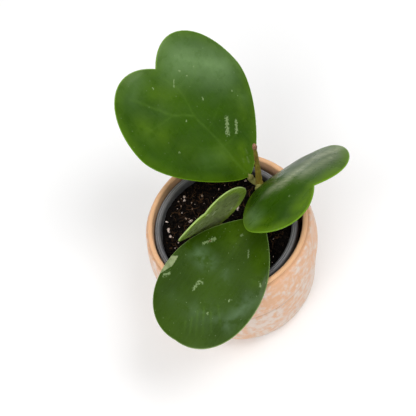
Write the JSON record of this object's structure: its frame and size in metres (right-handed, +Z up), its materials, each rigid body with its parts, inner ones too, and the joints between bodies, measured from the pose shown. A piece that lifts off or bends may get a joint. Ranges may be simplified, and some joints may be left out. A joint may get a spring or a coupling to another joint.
{
  "type": "potted hoya plant",
  "caption": "Young heart-leaf hoya with thick glossy leaves and a short woody stem, in a grower pot of soil inside a mottled peach earthenware cover pot that stands on its flat base.",
  "frame": {"origin": "centre of the cover pot's flat base", "axes": "+Z up along the pot's axis; the picture was taken from the -Y side and above, with +X to the right"},
  "size_m": [0.1423, 0.186, 0.1607],
  "materials": {
    "earthenware": "satin",
    "grey_plastic": "satin",
    "potting_mix": "matte",
    "bark": "matte",
    "leaf": "satin",
    "young_leaf": "satin"
  },
  "bodies": {
    "root": {"outer_pot": "earthenware", "grower_pot": "grey_plastic", "soil": "potting_mix", "stem": "bark", "leaf_heart_back": "leaf", "leaf_heart_right": "leaf", "leaf_front": "leaf", "leaf_young": "young_leaf"}
  },
  "joints": []
}
